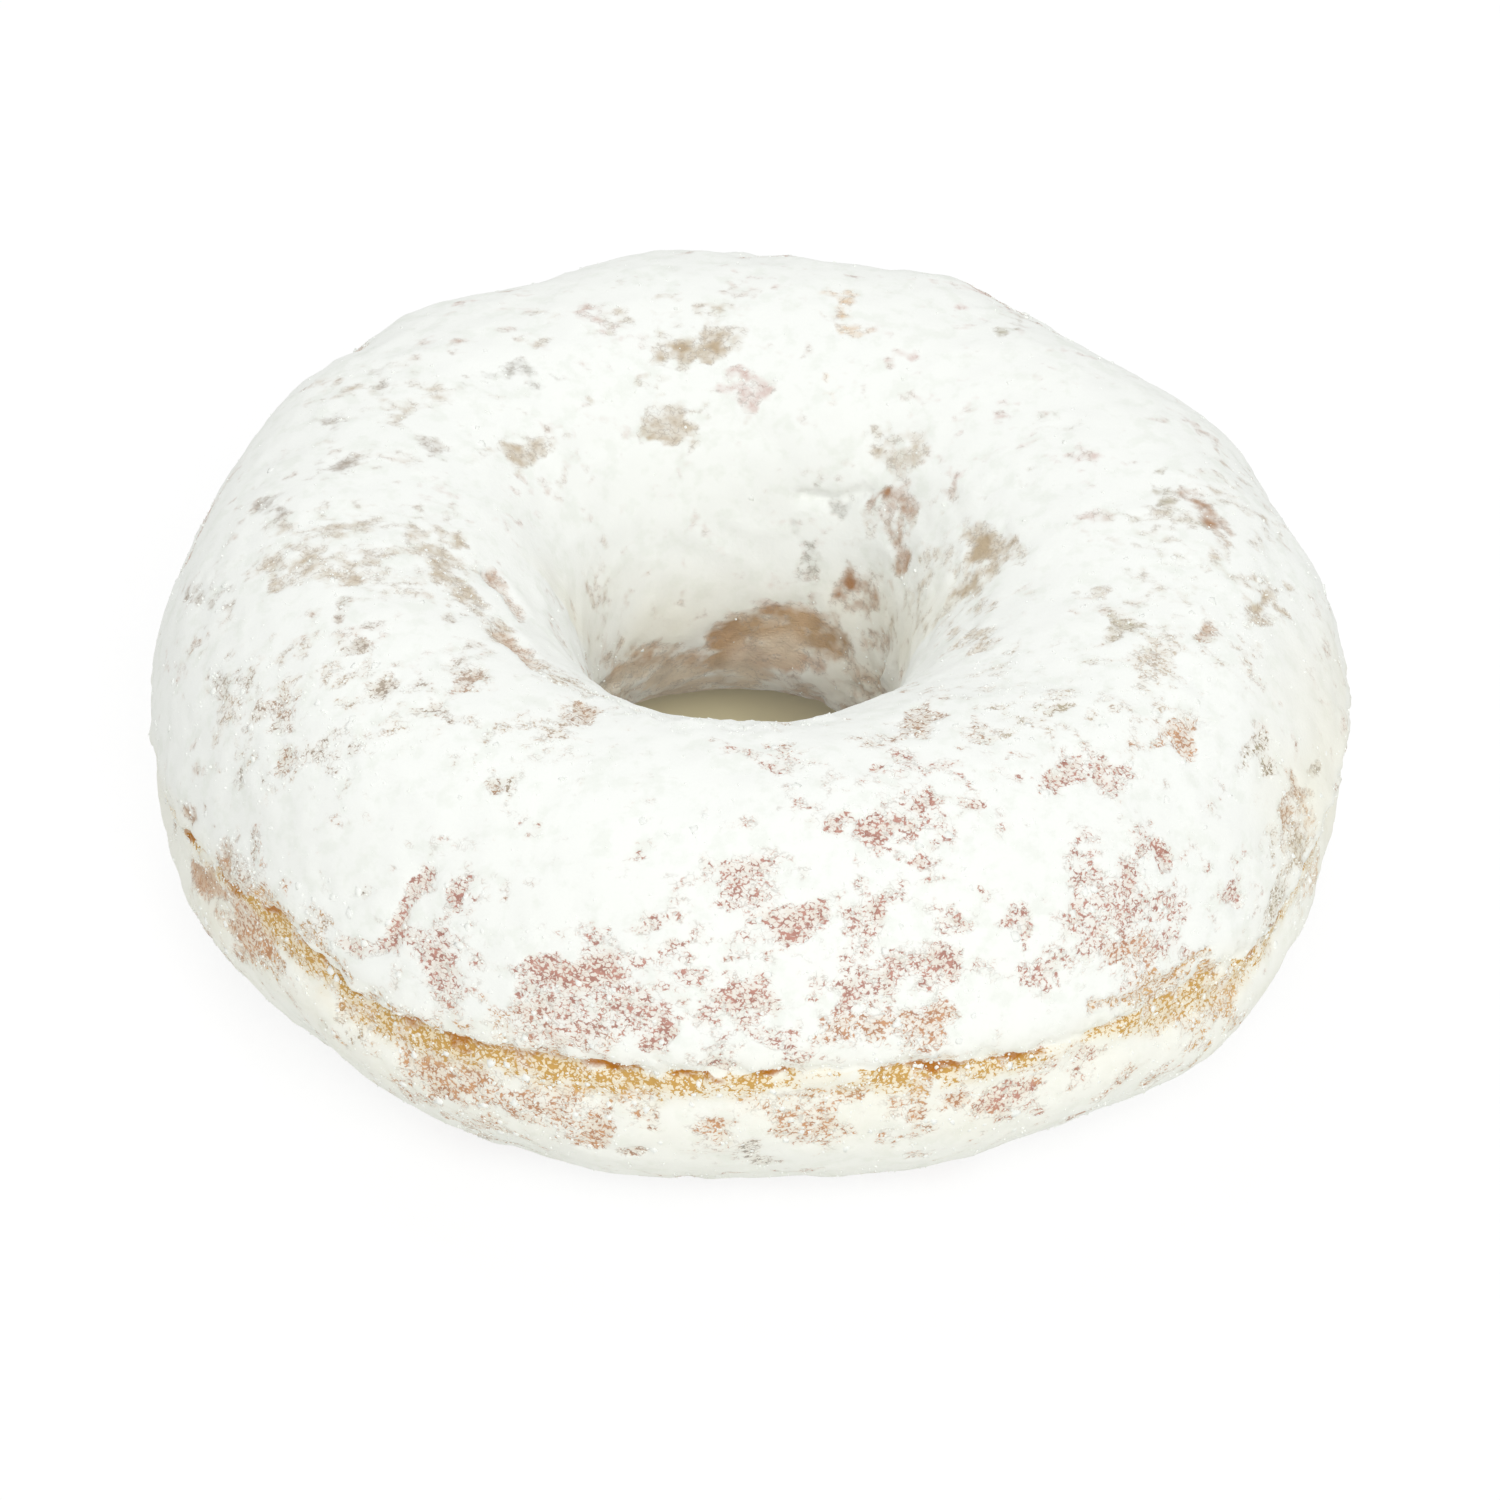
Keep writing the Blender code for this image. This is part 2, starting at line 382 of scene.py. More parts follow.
# %% Colours of the crust
TINTS = {
    "rosy": srgb(190, 124, 108),
    "orange": srgb(204, 142, 88),
    "brown": srgb(174, 128, 90),
    "gold": srgb(216, 162, 76),
    "taupe": srgb(152, 134, 114),
    "distant": srgb(192, 172, 142),
    "grey": srgb(158, 154, 142),
    "olive": srgb(164, 152, 118),
    "soaked": srgb(238, 221, 196),
    "crest": srgb(196, 162, 122),
    "shade": srgb(246, 236, 214),
}

# %% Patches on the upper crust, as left, top, right, bottom and strength
PATCHES = {
    ("wide and faint", "rosy"): [
        (505, 940, 700, 1064, .36), (680, 965, 800, 1064, .32), (800, 870, 1000, 1056, .36),
        (690, 845, 830, 945, .32), (820, 755, 1010, 885, .28), (1040, 832, 1205, 985, .34),
        (1040, 755, 1140, 800, .26), (400, 870, 480, 1014, .3)],
    ("wide and faint", "distant"): [
        (200, 640, 420, 800, .26), (255, 505, 480, 600, .28), (825, 520, 1020, 640, .24),
        (1100, 460, 1300, 700, .2), (640, 300, 770, 450, .2), (440, 690, 620, 800, .2),
        (290, 360, 560, 480, .16), (940, 640, 1220, 760, .2)],
    ("front left", "rosy"): [
        (516, 949, 630, 998, 1.0), (513, 990, 605, 1056, .75), (579, 917, 619, 949, .6),
        (493, 926, 562, 940, .35), (633, 920, 653, 935, .4), (648, 946, 688, 963, .45),
        (633, 998, 682, 1049, .7), (655, 1018, 676, 1046, .9), (694, 978, 785, 1026, .75),
        (745, 992, 782, 1026, .95), (682, 1032, 825, 1058, .35), (708, 1056, 726, 1066, .8)],
    ("front middle", "rosy"): [
        (719, 893, 740, 909, 1.0), (757, 906, 820, 932, 1.0), (696, 851, 780, 897, .55),
        (648, 893, 665, 906, .35)],
    ("right of the middle", "rosy"): [
        (825, 875, 892, 946, .5), (863, 895, 886, 932, .95), (825, 958, 900, 1009, .55),
        (838, 978, 857, 1006, .9), (946, 906, 960, 929, .8), (1009, 906, 1035, 946, .8),
        (1018, 929, 1035, 946, 1.0), (1009, 946, 1078, 1004, .35), (909, 943, 966, 989, .7),
        (943, 950, 963, 986, .95)],
    ("low front", "orange"): [
        (805, 1012, 952, 1050, .7), (854, 1015, 892, 1047, .95), (909, 998, 952, 1035, .95)],
    ("upper middle", "rosy"): [
        (765, 750, 808, 794, .55), (863, 763, 880, 786, .9), (892, 760, 940, 771, .3),
        (880, 794, 915, 814, .45), (915, 789, 935, 806, .9), (829, 812, 857, 832, .9),
        (863, 814, 912, 846, .85), (892, 849, 903, 860, .8), (903, 860, 935, 875, .85),
        (935, 806, 960, 855, .35), (955, 783, 1006, 812, .5), (969, 789, 989, 809, .9),
        (986, 766, 1009, 777, .4), (1055, 763, 1078, 792, .8), (1078, 766, 1132, 792, .45),
        (1061, 762, 1077, 777, .9), (1090, 765, 1106, 781, .9), (987, 760, 1027, 780, .4)],
    ("near rim", "brown"): [
        (906, 707, 938, 737, .7), (864, 735, 909, 748, .4), (778, 745, 803, 758, .45),
        (960, 717, 987, 740, .45), (573, 710, 592, 726, .8), (484, 780, 500, 799, .9)],
    ("near rim", "olive"): [
        (997, 700, 1040, 737, .5), (1053, 703, 1070, 715, .8), (454, 765, 518, 793, .35)],
    ("right", "rosy"): [
        (1055, 843, 1190, 978, .5), (1150, 843, 1173, 866, .9), (1115, 857, 1135, 892, .9),
        (1081, 861, 1097, 877, .9), (1067, 903, 1084, 920, .85), (1092, 921, 1107, 934, .85),
        (1216, 885, 1244, 904, .8), (1207, 860, 1250, 883, .3), (1204, 913, 1218, 929, .4)],
    ("right", "orange"): [
        (1107, 929, 1158, 972, .95), (1163, 720, 1197, 753, .85), (1133, 733, 1167, 747, .6)],
    ("right edge", "olive"): [
        (1241, 739, 1280, 778, .5), (1303, 757, 1319, 772, .5), (1258, 832, 1274, 857, .5),
        (1280, 829, 1311, 865, .6)],
    ("right edge", "brown"): [(1286, 781, 1300, 801, .6), (1278, 804, 1296, 834, .8)],
    ("upper right", "olive"): [
        (1147, 473, 1170, 490, .5), (1160, 500, 1177, 513, .5), (1110, 507, 1140, 520, .4),
        (1153, 557, 1187, 577, .45), (1110, 623, 1140, 637, .55), (1080, 650, 1113, 670, .35),
        (980, 480, 997, 492, .55), (1000, 477, 1040, 497, .3), (1047, 413, 1080, 437, .3),
        (993, 320, 1020, 337, .3), (993, 650, 1020, 662, .4)],
    ("upper right", "distant"): [
        (1260, 580, 1283, 593, .5), (1237, 600, 1290, 623, .55), (1244, 598, 1262, 616, .85),
        (1127, 643, 1187, 677, .5), (1133, 673, 1233, 693, .35), (1067, 583, 1113, 610, .3),
        (947, 627, 1003, 643, .45)],
    ("upper right", "brown"): [(1190, 621, 1214, 644, .8)],
    ("beside the hole", "distant"): [
        (962, 526, 1017, 576, .9), (943, 573, 980, 593, .75), (867, 422, 924, 480, .5)],
    ("beside the hole", "brown"): [
        (886, 537, 918, 573, .9), (832, 566, 893, 620, .6), (835, 569, 858, 601, .85),
        (872, 470, 924, 534, .55),
        (867, 484, 886, 504, .95), (930, 489, 957, 511, .5), (875, 630, 892, 662, .6)],
    # The first grey box, under the white lump, is painted shadow: the shadow line below the lump.
    ("beside the hole", "grey"): [(803, 489, 864, 508, .45), (794, 518, 813, 572, .35)],
    ("back", "distant"): [
        (692, 333, 730, 362, 1.0), (665, 346, 701, 364, .8), (641, 400, 709, 444, .95),
        (653, 422, 676, 444, 1.1), (493, 438, 549, 466, .65), (710, 297, 727, 324, .45),
        (571, 340, 589, 357, .4), (602, 315, 652, 328, .3), (538, 315, 555, 342, .35),
        (643, 295, 678, 308, .35), (594, 382, 609, 397, .4), (643, 380, 658, 395, .4)],
    ("back", "rosy"): [(714, 360, 763, 400, .52)],
    ("back", "gold"): [(817, 288, 861, 310, .3), (839, 324, 870, 346, .3), (821, 382, 839, 400, .3)],
    ("back", "grey"): [(468, 364, 555, 386, .45)],
    ("left", "distant"): [
        (260, 515, 395, 591, .42), (297, 539, 322, 564, .65), (260, 564, 297, 588, .65),
        (352, 549, 392, 566, .65), (337, 573, 362, 591, .65), (312, 515, 343, 533, .6),
        (414, 530, 469, 576, .5), (435, 573, 469, 594, .5)],
    ("left", "taupe"): [
        (303, 413, 352, 435, .4), (316, 463, 365, 478, .4), (411, 441, 457, 456, .4),
        (463, 464, 484, 480, .4), (371, 371, 386, 386, .4), (261, 500, 284, 517, .45),
        (450, 606, 487, 620, .5), (346, 650, 368, 668, .55), (364, 676, 411, 695, .85),
        (414, 700, 447, 716, .75), (239, 711, 297, 732, .45), (305, 736, 370, 775, .6),
        (211, 664, 247, 693, .55), (440, 655, 490, 682, .4), (465, 765, 516, 793, .45),
        (196, 585, 239, 616, .45), (334, 606, 349, 620, .4), (362, 620, 386, 635, .4)],
    ("left", "brown"): [
        (269, 687, 305, 729, .65), (273, 745, 305, 780, .8), (277, 757, 291, 771, 1.15),
        (458, 670, 474, 688, .7)],
    ("left", "grey"): [(316, 723, 365, 760, .4), (227, 762, 258, 790, .45)],
    ("low left shoulder", "rosy"): [
        (448, 874, 470, 902, .9), (420, 933, 476, 1014, .55), (431, 931, 448, 949, .9),
        (423, 956, 470, 998, .9)],
    ("low left shoulder", "grey"): [
        (305, 919, 336, 933, .45), (356, 884, 378, 904, .45), (224, 835, 263, 886, .5)],
}

# %% Patches round the proof line and on the lower half
LOW_PATCHES = {
    ("wide and faint", "orange"): [
        (380, 1040, 665, 1142, .45), (690, 1088, 1060, 1142, .42), (198, 838, 285, 945, .42),
        (1010, 1050, 1200, 1100, .3)],
    ("wide and faint", "gold"): [
        (255, 890, 350, 985, .4), (345, 1000, 600, 1092, .36), (870, 1050, 1040, 1090, .36),
        (1120, 960, 1245, 1045, .42), (1275, 780, 1318, 930, .4)],
    ("gold band", "gold"): [
        (602, 1066, 659, 1095, .9), (745, 1087, 814, 1110, .5), (877, 1066, 940, 1090, .9),
        (933, 1050, 968, 1072, .7), (989, 1055, 1026, 1074, .6), (1135, 975, 1190, 1040, .75),
        (1185, 965, 1240, 1010, .8), (364, 976, 406, 1003, .35)],
    ("left edge", "orange"): [
        (196, 862, 228, 900, 1.2), (220, 890, 258, 945, .8), (240, 918, 278, 952, 1.15)],
    ("left edge", "brown"): [(202, 862, 220, 888, 1.4)],
    ("lower left", "orange"): [
        (392, 1044, 490, 1098, .85), (431, 1070, 456, 1098, 1.1), (456, 1062, 487, 1087, 1.05),
        (496, 1084, 519, 1110, .5), (527, 1092, 570, 1121, .75), (579, 1112, 616, 1140, 1.1)],
    ("lower left", "brown"): [
        (177, 808, 201, 832, .8), (284, 942, 302, 960, 1.0), (622, 1112, 653, 1135, .5)],
    ("lower left", "olive"): [(345, 1026, 363, 1043, .6), (337, 1004, 349, 1019, .6)],
    ("lower front", "orange"): [
        (691, 1115, 745, 1137, .75), (768, 1112, 814, 1144, .75), (798, 1110, 812, 1124, .95),
        (816, 1111, 830, 1125, .95), (771, 1124, 785, 1140, .9), (820, 1108, 837, 1127, .8),
        (866, 1095, 889, 1113, .5), (903, 1090, 932, 1115, 1.05), (943, 1099, 969, 1117, 1.0)],
    ("lower front", "grey"): [(740, 1141, 771, 1161, .5), (929, 1116, 958, 1132, .35)],
    ("lower right", "rosy"): [
        (975, 1084, 1046, 1118, .65), (978, 1090, 998, 1115, 1.0), (1046, 1047, 1118, 1090, .4)],
}

# %% Strokes, as tint, half width in pixels, strength and points
STROKES = {
    "wiggle on the low left": ("rosy", 9, .8, [(347, 943), (372, 950), (392, 944), (398, 926),
                                               (410, 900), (430, 874)]),
    "line left of the hole": ("brown", 6, .7, [(486, 575), (505, 594), (522, 617)]),
    "dark line left of the hole": ("brown", 6, .85, [(496, 631), (516, 646), (536, 665)]),
    "strip down to the rim": ("distant", 9, .55, [(536, 665), (570, 682), (600, 692)]),
    "fold left of the hole": ("distant", 12, .55, [(414, 535), (440, 565), (470, 600), (500, 632)]),
    "upper right diagonal": ("brown", 9, .6, [(1183, 490), (1205, 512), (1227, 537)]),
    "left gold": ("gold", 13, .85, [(262, 897), (284, 922), (306, 944), (330, 968), (345, 984)]),
    "left gold, thin": ("gold", 7, .6, [(338, 980), (352, 1006)]),
    "gold under the lip": ("gold", 15, .95, [(353, 1006), (384, 1022), (420, 1034), (445, 1040)]),
    "gold under the lip, middle": ("gold", 14, .95, [(462, 1046), (510, 1056), (560, 1064)]),
    "gold under the lip, end": ("gold", 13, .85, [(566, 1062), (588, 1088)]),
    "second line on the right": ("gold", 5, .7, [(1092, 1005), (1124, 1000), (1165, 982),
                                                 (1190, 962), (1210, 950)]),
    "second line, low": ("gold", 5, .7, [(808, 1090), (840, 1090), (877, 1089)]),
    "lower seam": ("gold", 6, .6, [(585, 1097), (618, 1096), (653, 1092)]),
    "short line at the bottom": ("brown", 4, .7, [(619, 1150), (645, 1150)]),
    "right edge streak": ("olive", 9, .6, [(1296, 842), (1286, 868), (1276, 900), (1262, 940)]),
}

# %% [markdown]
# ## From marks to bareness
#
# Noise first shifts each point's pixel a little, so that no mark keeps the shape of its box. A
# mark's pull fades from full inside its box to nothing a little way outside it, so that the
# material can break the edge into dots. The strongest mark wins, and the tints of all marks near a
# point are averaged. Out of the camera's view there are no marks to read, so noise makes patches
# of the same size and share, with more bare crust underneath, where the ring rubbed on its tray.


# %% Bareness and tint at each point
WANDER = ((18, 2.2 * MM, 11), (9, 1.0 * MM, 13))
FULL_UNTIL, NOTHING_FROM, MARGIN = 0.4, 1.5, 2
PALER_FAR_OFF = 0.14
loose_x = pixel_x + sum(size * field(points, length, seed) for size, length, seed in WANDER)
loose_y = pixel_y + sum(size * field(points, length, seed + 1) for size, length, seed in WANDER)


def box_pull(box):
    left, top, right, bottom, strength = box
    across = (loose_x - (left + right) / 2) / ((right - left) / 2 + MARGIN)
    down = (loose_y - (top + bottom) / 2) / ((bottom - top) / 2 + MARGIN)
    return strength * (1 - soft_step(FULL_UNTIL, NOTHING_FROM, np.hypot(across, down)))


def stroke_pull(half_width, strength, path):
    nearest = np.full(len(pixel_x), np.inf)
    for (x0, y0), (x1, y1) in zip(path, path[1:]):
        run_x, run_y = x1 - x0, y1 - y0
        along = ((pixel_x - x0) * run_x + (pixel_y - y0) * run_y) / (run_x ** 2 + run_y ** 2)
        along = np.clip(along, 0, 1)
        away = np.hypot(pixel_x - x0 - along * run_x, pixel_y - y0 - along * run_y)
        nearest = np.minimum(nearest, away)
    return strength * (1 - soft_step(FULL_UNTIL, NOTHING_FROM, nearest / half_width))


marks = [(tint, box_pull(box)) for group in (PATCHES, LOW_PATCHES)
         for (_, tint), boxes in group.items() for box in boxes]
marks += [(tint, stroke_pull(width, strength, path)) for tint, width, strength, path in STROKES.values()]
bare_seen = np.max([pull for _, pull in marks], axis=0)
bare_seen *= 1 - PALER_FAR_OFF + PALER_FAR_OFF * soft_step(430, 640, pixel_y)

TINT_REACH = 0.02
tint_sum = np.zeros((len(points), 3))
tint_weight = np.zeros(len(points))
for tint, pull in marks:
    weight = pull ** 2
    tint_sum += weight[:, None] * np.array(TINTS[tint][:3])
    tint_weight += weight
print(len(marks), "marks; strongest pull covers", round(float((bare_seen > 0.5).mean()), 3))

# %% Patches where the camera doesn't see
big, long_waves = field(points, 9 * MM, 1, 3), field(points * np.array([1, 1, 1.8]), 5 * MM, 2, 3)
wild = 0.75 * soft_step(0.05, 0.75, big + 0.4 * long_waves)
underneath = soft_step(0.75, 0.95, -normals[:, 2])
low_wall = (1 - soft_step(9 * MM, 14 * MM, points[:, 2])) * (radius < 24 * MM)
wild = np.maximum(wild, underneath * (0.5 + 0.3 * long_waves))
wild = np.maximum(wild, low_wall * (0.62 + 0.25 * long_waves))
bare = in_view * bare_seen + (1 - in_view) * wild

tone = field(points, 14 * MM, 3, 2)
wild_tint = np.array(TINTS["rosy"][:3]) + (np.array(TINTS["brown"][:3])
                                           - np.array(TINTS["rosy"][:3])) * soft_step(-.4, .4, tone)[:, None]
known = in_view * np.clip(tint_weight / TINT_REACH, 0, 1)
seen_tint = tint_sum / np.maximum(tint_weight, 1e-6)[:, None]
tint = seen_tint * known[:, None] + wild_tint * (1 - known)[:, None]
print("bare over half:", round(float((bare > 0.5).mean()), 3))

# %% [markdown]
# ## The far wall of the hole
#
# Low in the hole little sugar reaches the crust, and what shows is a dim brown wall under a
# sugared ledge. Boxes in pixels mark the brown part of the wall and the deep shade down to the near
# rim, and two strokes draw the darker crest where the sugar ends. Folds in the crust hold some
# sugar back in streaks.

# %% Brown wall in the hole
HOLE_MARKS = {
    "brown wall": ("soaked", [
        (717, 607, 845, 668, .95), (700, 640, 770, 690, .9), (835, 640, 885, 700, .5)]),
    "deep shade": ("shade", [
        (589, 640, 720, 725, .85), (640, 668, 800, 735, .8), (690, 690, 860, 730, .7)]),
}
CREST_LINES = {
    "over the brown wall": (17, 0.8, [(717, 640), (742, 624), (762, 620), (794, 616), (811, 628),
                                      (835, 648)]),
    "over the deep shade": (12, 0.6, [(604, 664), (629, 653), (689, 653), (717, 660)]),
}
FOLD_SHARE, WALL_SHADE_SHARE = 0.35, 0.20
inside = (radius < 25 * MM) & (points[:, 1] > -2 * MM)
hole_pull = np.zeros(len(points))
for tint_name, boxes in HOLE_MARKS.values():
    pull = np.max([box_pull(box) for box in boxes], axis=0) * inside
    share = np.clip(pull, 0, 1)[:, None]
    tint = tint * (1 - share) + np.array(TINTS[tint_name][:3]) * share
    hole_pull = np.maximum(hole_pull, pull)
for half_width, strength, path in CREST_LINES.values():
    pull = stroke_pull(half_width, strength, path) * inside
    tint = tint * (1 - pull)[:, None] + np.array(TINTS["crest"][:3]) * pull[:, None]
    hole_pull = np.maximum(hole_pull, pull)
folds = field(points * np.array([1, 1, 2.2]), 5 * MM, 19, 2)
hole_pull *= 1 - FOLD_SHARE * soft_step(0.0, 0.5, folds)
bare = np.maximum(bare, hole_pull)
wall_shade = soft_step(-0.25, 0.45, field(points, 2.4 * MM, 17, 3))
tint = tint * (1 - WALL_SHADE_SHARE * hole_pull * wall_shade)[:, None]
print("brown wall on", round(float((hole_pull > 0.5).mean()), 3), "of the skin")

# %% [markdown]
# ## Stain
#
# In the hole the fat has soaked into the sugar, so the tint lies there as a soft stain and less as
# dots. The back and both edges get the same softness, because what lies far off, or turns away,
# shows its marks as a blur. Each place takes the strongest of these stains.

# %% How much the tint is a stain
STAIN_NEAR, STAIN_FAR, STAIN_LOW, STAIN_INSIDE, STAIN_EDGE = 0.05, 0.65, 0.82, 0.80, 0.42
stain = in_view * (STAIN_NEAR + STAIN_FAR * (1 - soft_step(500, 780, pixel_y)))
stain = np.maximum(stain, np.maximum(hole_pull, low_wall) * STAIN_LOW)
stain = np.maximum(stain, in_view * inside * STAIN_INSIDE * soft_step(520, 600, pixel_y))
soft_side = np.maximum(1 - soft_step(190, 280, pixel_x), soft_step(1245, 1320, pixel_x))
stain = np.maximum(stain, in_view * STAIN_EDGE * soft_side)
print("stain on average", round(float(stain.mean()), 3))

# %% [markdown]
# ## The proof line
#
# The lip of the upper crust runs round the ring at a height that wanders by a few millimetres. The
# table is the one that shaped the part. Each point of the skin learns how far below the lip
# it is, how open the crease is there and how far down the gold band reaches, so that the material
# can draw a thin dark crease and a gold band under it with a sharp edge, finer than the net of
# points. The crease's dark brown is partly the fried crust's own colour and partly painted shade in
# the crease. Near the line fat also warms the sugar's white. Low in the hole a warmer, darker white
# is painted shade, and at the right edge the white is made warmer too.

# %% How far below the lip, and how open the crease
PROOF_LINE = {
    0: 18.2 * MM, 40: 17.8 * MM, 80: 17.2 * MM, 120: 16.6 * MM, 160: 16.0 * MM,
    185: 15.5 * MM, 200: 15.4 * MM, 209: 15.8 * MM, 215: 16.9 * MM, 222: 17.7 * MM,
    226: 16.4 * MM, 233: 14.6 * MM, 240: 14.9 * MM, 247: 15.4 * MM, 256: 16.1 * MM,
    265: 16.4 * MM, 277: 16.8 * MM, 292: 16.1 * MM, 300: 15.2 * MM, 314: 15.5 * MM,
    320: 15.2 * MM, 326: 14.4 * MM, 331: 14.4 * MM, 337: 16.0 * MM, 345: 17.8 * MM,
}
CREASE_BY_PIXEL = {
    170: .7, 205: .7, 238: .5, 300: .52, 340: .5, 364: .7, 420: .8, 470: .7, 527: .8, 585: .9,
    640: 1.0, 660: .9, 668: .3, 680: .9, 703: .9, 712: .3, 745: .55, 771: .9, 797: .9, 806: .25,
    850: .35, 874: .5, 885: .9, 940: .8, 960: .4, 989: .65, 1026: .6, 1050: .3, 1098: .5,
    1157: .42, 1207: .46, 1250: .42, 1297: .3,
}
BAND_BY_PIXEL = {
    170: 1.2, 238: 1.6, 262: 3.2, 300: 3.8, 345: 3.4, 360: 3.4, 430: 3.2, 560: 3.2, 640: 3.6,
    700: 2.8, 745: 2.8, 800: 2.2, 870: 3.0, 960: 2.8, 1040: 1.8, 1100: 1.4, 1160: 4.0, 1240: 4.2,
    1300: 2.4,
}
lip = np.interp(azimuth, list(PROOF_LINE), list(PROOF_LINE.values()), period=360)
below_lip = (lip - points[:, 2]) / MM + 0.25 * field(points, 2.2 * MM, 4, 2)
outer = soft_step(29 * MM, 33 * MM, radius)
open_seen = np.interp(loose_x, list(CREASE_BY_PIXEL), list(CREASE_BY_PIXEL.values()))
open_waves = field(points * np.array([1, 1, 0.2]), 8 * MM, 5, 2) + 0.45 * field(points, 3 * MM, 25, 2)
open_wild = soft_step(-0.75, 0.50, open_waves)
crease = outer * (in_view * open_seen + (1 - in_view) * open_wild)
print("crease open over", round(float((crease > .5).mean()), 2))

# %% The gold band's reach in millimetres, and the sugar's warmth and painted shade
band_reach = in_view * np.interp(loose_x, list(BAND_BY_PIXEL), list(BAND_BY_PIXEL.values()))
band_reach += (1 - in_view) * (2.6 + 1.6 * field(points * np.array([1, 1, 0.2]), 9 * MM, 21, 2))
band_reach = np.maximum(band_reach, 0.8)
band = soft_step(0.1, 0.6, crease) * (1 - soft_step(0.35, 1.15, below_lip / band_reach))
band *= soft_step(-1.0, 0.0, below_lip)
warmth_and_shade = 0.40 * outer * soft_step(-3.5, 0.5, below_lip) * (1 - 0.65 * soft_step(4, 10, below_lip))
warmth_and_shade = np.maximum(warmth_and_shade, in_view * 0.5 * soft_step(1230, 1320, pixel_x) * soft_step(560, 760, pixel_y))
# Low in the hole the warmer, darker white is painted shade.
painted_shade_low_in_hole = (points[:, 1] > 0) * (1 - soft_step(15 * MM, 21 * MM, radius)) * soft_step(540, 620, pixel_y)
warmth_and_shade = np.maximum(warmth_and_shade, in_view * 0.5 * painted_shade_low_in_hole)
warmth_and_shade *= 1 + 0.7 * field(points, 7 * MM, 23, 2)
print("gold band on", round(float((band > .5).mean()), 3), "of the skin")

# %% [markdown]
# ## Sugar as relief
#
# Powdered sugar packs into low lumps with sharp little edges: about a third of a millimetre
# thick, with nothing on the rubbed crust. So the coat is real relief: the points of the skin
# move along their normals by the coat's thickness, from three sizes of noise, and sink a
# little where the crust is bare. The near rim of the hole is crumbly, and small round pits and a
# shadowed edge under the white lump are carved along listed strokes.

# %% Coat of sugar
NEAR_RIM = [(600, 690), (611, 694), (646, 710), (672, 713), (704, 719), (736, 722), (768, 724),
            (787, 716), (826, 711), (864, 690), (890, 668)]
CARVED = {
    "under the white lump": (7, 0.55, [(803, 497), (835, 501), (866, 492)]),
    "pit on the left": (5, 0.35, [(446, 664), (452, 666)]),
    "pit on the right": (5, 0.35, [(1200, 724), (1206, 727)]),
    "line left of the hole": (5, 0.35, STROKES["line left of the hole"][3]),
    "dark line left of the hole": (5, 0.35, STROKES["dark line left of the hole"][3]),
    "second line on the right": (5, 0.3, [(1092, 1005), (1124, 1000), (1165, 982), (1210, 950)]),
}
THICKNESS, LUMPS, NODULES, GRIT, WORN = 0.12, 0.14, 0.08, 0.035, 0.14
cover = 1 - np.clip(bare * 1.2, 0, 1)
lumps = 1 - 2 * np.abs(field(points, 5.5 * MM, 6, 2))
nodules, grit = field(points, 2.1 * MM, 7, 2), field(points, 1.05 * MM, 8, 2)
worn = soft_step(0.05, 0.45, bare)
coat = THICKNESS + LUMPS * lumps + (NODULES + WORN * worn) * nodules + (GRIT + WORN * worn) * grit
coat = cover * coat
coat += (1 - cover) * (-0.10 + 0.08 * grit)
rim = in_view * stroke_pull(14, 1.0, NEAR_RIM)
coat += rim * (0.30 * nodules + 0.34 * grit)
edge = np.exp(-((below_lip + 0.9) / 0.8) ** 2) * outer
coat += edge * (0.22 + 0.30 * nodules + 0.20 * grit)
groove = np.exp(-((below_lip - 0.5) / 0.8) ** 2) * outer
coat -= crease * groove * 0.35
coat += (1 - crease) * groove * (0.75 + 0.3 * nodules)
for half_width, depth, path in CARVED.values():
    coat -= in_view * stroke_pull(half_width, depth, path)
coat *= soft_step(0.2 * MM, 2.5 * MM, points[:, 2])
points = points + normals * coat[:, None] * MM
points[:, 2] = np.maximum(points[:, 2], 0)
skin.vertices.foreach_set("co", points.ravel())
skin.update()
print("coat from", coat.min().round(2), "to", coat.max().round(2), "mm")


# %% Write the fields on the skin
def keep_number(mesh, name, values):
    attribute = mesh.attributes.new(name, "FLOAT", "POINT")
    attribute.data.foreach_set("value", values.astype(np.float32))


keep_number(skin, "bare", bare)
keep_number(skin, "stain", stain)
keep_number(skin, "below_lip", np.clip(below_lip, -20, 20))
keep_number(skin, "crease", crease)
keep_number(skin, "band", band)
keep_number(skin, "warmth_and_shade", np.clip(warmth_and_shade, 0, 1))
colours = skin.attributes.new("crust_tint", "FLOAT_COLOR", "POINT")
colours.data.foreach_set("color", np.hstack([tint, np.ones((len(tint), 1))]).astype(np.float32).ravel())
for polygon in skin.polygons:
    polygon.use_smooth = True
print("fields on the skin:", "bare, stain, below_lip, crease, band, warmth and crust_tint")

# %% [markdown]
# ## Two shader groups
#
# Sugar shows the same grain on the coat and on loose crumbs, so the grain is one node group, used
# by both materials. It gives a height for the bump and a faint shade between grains. The second
# group breaks a smooth bareness into the red dots between white grains. Seen close, bare crust
# is a net, because it shows in the gaps between grains. So fine noise is added to the edges of
# small bent cells, and the barer the place, the lower the bar that their sum has to pass. The
# group gives that net itself too, for the gold band, and thin cracks round the patches, whose grey
# in the material is painted shadow.

